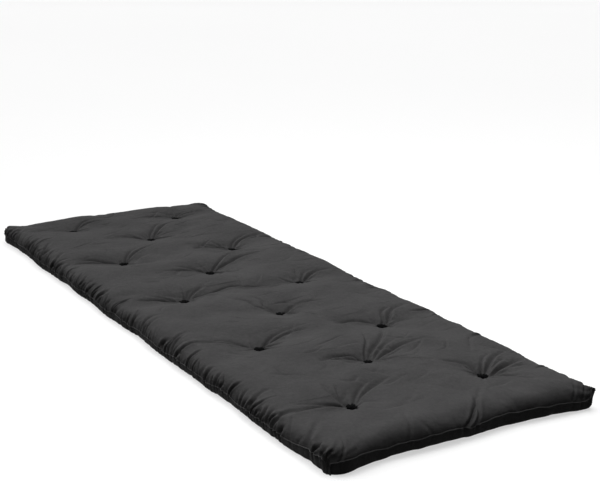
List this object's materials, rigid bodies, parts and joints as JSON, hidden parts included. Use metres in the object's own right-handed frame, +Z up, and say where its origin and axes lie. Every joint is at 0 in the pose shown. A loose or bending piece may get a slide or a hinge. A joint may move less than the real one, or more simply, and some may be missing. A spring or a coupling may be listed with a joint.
{
  "type": "futon mattress",
  "caption": "Thin roll-up tufted futon mattress: cloth panels seamed round the edge over layered wadding, tied through with thread tufts.",
  "frame": {"origin": "on the floor under the middle of the mattress", "axes": "+X along the length, +Y across the width, +Z up out of the sleeping surface"},
  "size_m": [1.9, 0.7, 0.06],
  "materials": {
    "cover_cloth": "matt plain-woven cotton",
    "wadding": "soft cotton and firm polyester wadding",
    "tuft_thread": "matt thick cotton thread"
  },
  "bodies": {
    "strip_01": {"cover_top_01": "cover_cloth", "cover_bottom_01": "cover_cloth", "wadding_01": "wadding", "tuft_01": "tuft_thread", "tuft_02": "tuft_thread"},
    "strip_02": {"cover_top_02": "cover_cloth", "cover_bottom_02": "cover_cloth", "wadding_02": "wadding", "tuft_03": "tuft_thread"},
    "strip_03": {"cover_top_03": "cover_cloth", "cover_bottom_03": "cover_cloth", "wadding_03": "wadding", "tuft_04": "tuft_thread", "tuft_05": "tuft_thread"},
    "strip_04": {"cover_top_04": "cover_cloth", "cover_bottom_04": "cover_cloth", "wadding_04": "wadding", "tuft_06": "tuft_thread"},
    "strip_05": {"cover_top_05": "cover_cloth", "cover_bottom_05": "cover_cloth", "wadding_05": "wadding", "tuft_07": "tuft_thread", "tuft_08": "tuft_thread"},
    "strip_06": {"cover_top_06": "cover_cloth", "cover_bottom_06": "cover_cloth", "wadding_06": "wadding"},
    "strip_07": {"cover_top_07": "cover_cloth", "cover_bottom_07": "cover_cloth", "wadding_07": "wadding", "tuft_09": "tuft_thread"},
    "strip_08": {"cover_top_08": "cover_cloth", "cover_bottom_08": "cover_cloth", "wadding_08": "wadding", "tuft_10": "tuft_thread", "tuft_11": "tuft_thread"},
    "strip_09": {"cover_top_09": "cover_cloth", "cover_bottom_09": "cover_cloth", "wadding_09": "wadding"},
    "strip_10": {"cover_top_10": "cover_cloth", "cover_bottom_10": "cover_cloth", "wadding_10": "wadding", "tuft_12": "tuft_thread"},
    "strip_11": {"cover_top_11": "cover_cloth", "cover_bottom_11": "cover_cloth", "wadding_11": "wadding"},
    "strip_12": {"cover_top_12": "cover_cloth", "cover_bottom_12": "cover_cloth", "wadding_12": "wadding", "tuft_13": "tuft_thread", "tuft_14": "tuft_thread"},
    "strip_13": {"cover_top_13": "cover_cloth", "cover_bottom_13": "cover_cloth", "wadding_13": "wadding"},
    "strip_14": {"cover_top_14": "cover_cloth", "cover_bottom_14": "cover_cloth", "wadding_14": "wadding"}
  },
  "joints": [
    {"name": "roll_up", "type": "hinge", "parent": "strip_01", "child": "strip_02", "pos_m": [0.72979, 0, 0.06], "axis": [0, 1, 0], "range_deg": [0, 60]},
    {"name": "roll_up_02", "type": "hinge", "parent": "strip_02", "child": "strip_03", "pos_m": [0.52257, 0, 0.06], "axis": [0, 1, 0], "range_deg": [0, 60]},
    {"name": "roll_up_03", "type": "hinge", "parent": "strip_03", "child": "strip_04", "pos_m": [0.32836, 0, 0.06], "axis": [0, 1, 0], "range_deg": [0, 60]},
    {"name": "roll_up_04", "type": "hinge", "parent": "strip_04", "child": "strip_05", "pos_m": [0.14714, 0, 0.06], "axis": [0, 1, 0], "range_deg": [0, 60]},
    {"name": "roll_up_05", "type": "hinge", "parent": "strip_05", "child": "strip_06", "pos_m": [-0.02107, 0, 0.06], "axis": [0, 1, 0], "range_deg": [0, 60]},
    {"name": "roll_up_06", "type": "hinge", "parent": "strip_06", "child": "strip_07", "pos_m": [-0.17629, 0, 0.06], "axis": [0, 1, 0], "range_deg": [0, 60]},
    {"name": "roll_up_07", "type": "hinge", "parent": "strip_07", "child": "strip_08", "pos_m": [-0.3185, 0, 0.06], "axis": [0, 1, 0], "range_deg": [0, 60]},
    {"name": "roll_up_08", "type": "hinge", "parent": "strip_08", "child": "strip_09", "pos_m": [-0.44771, 0, 0.06], "axis": [0, 1, 0], "range_deg": [0, 60]},
    {"name": "roll_up_09", "type": "hinge", "parent": "strip_09", "child": "strip_10", "pos_m": [-0.56393, 0, 0.06], "axis": [0, 1, 0], "range_deg": [0, 60]},
    {"name": "roll_up_10", "type": "hinge", "parent": "strip_10", "child": "strip_11", "pos_m": [-0.66714, 0, 0.06], "axis": [0, 1, 0], "range_deg": [0, 60]},
    {"name": "roll_up_11", "type": "hinge", "parent": "strip_11", "child": "strip_12", "pos_m": [-0.75736, 0, 0.06], "axis": [0, 1, 0], "range_deg": [0, 60]},
    {"name": "roll_up_12", "type": "hinge", "parent": "strip_12", "child": "strip_13", "pos_m": [-0.83457, 0, 0.06], "axis": [0, 1, 0], "range_deg": [0, 60]},
    {"name": "roll_up_13", "type": "hinge", "parent": "strip_13", "child": "strip_14", "pos_m": [-0.89879, 0, 0.06], "axis": [0, 1, 0], "range_deg": [0, 60]}
  ],
  "couplings": [
    {"joint": "roll_up_02", "follows": "roll_up", "ratio": 1},
    {"joint": "roll_up_03", "follows": "roll_up", "ratio": 1},
    {"joint": "roll_up_04", "follows": "roll_up", "ratio": 1},
    {"joint": "roll_up_05", "follows": "roll_up", "ratio": 1},
    {"joint": "roll_up_06", "follows": "roll_up", "ratio": 1},
    {"joint": "roll_up_07", "follows": "roll_up", "ratio": 1},
    {"joint": "roll_up_08", "follows": "roll_up", "ratio": 1},
    {"joint": "roll_up_09", "follows": "roll_up", "ratio": 1},
    {"joint": "roll_up_10", "follows": "roll_up", "ratio": 1},
    {"joint": "roll_up_11", "follows": "roll_up", "ratio": 1},
    {"joint": "roll_up_12", "follows": "roll_up", "ratio": 1},
    {"joint": "roll_up_13", "follows": "roll_up", "ratio": 1}
  ]
}
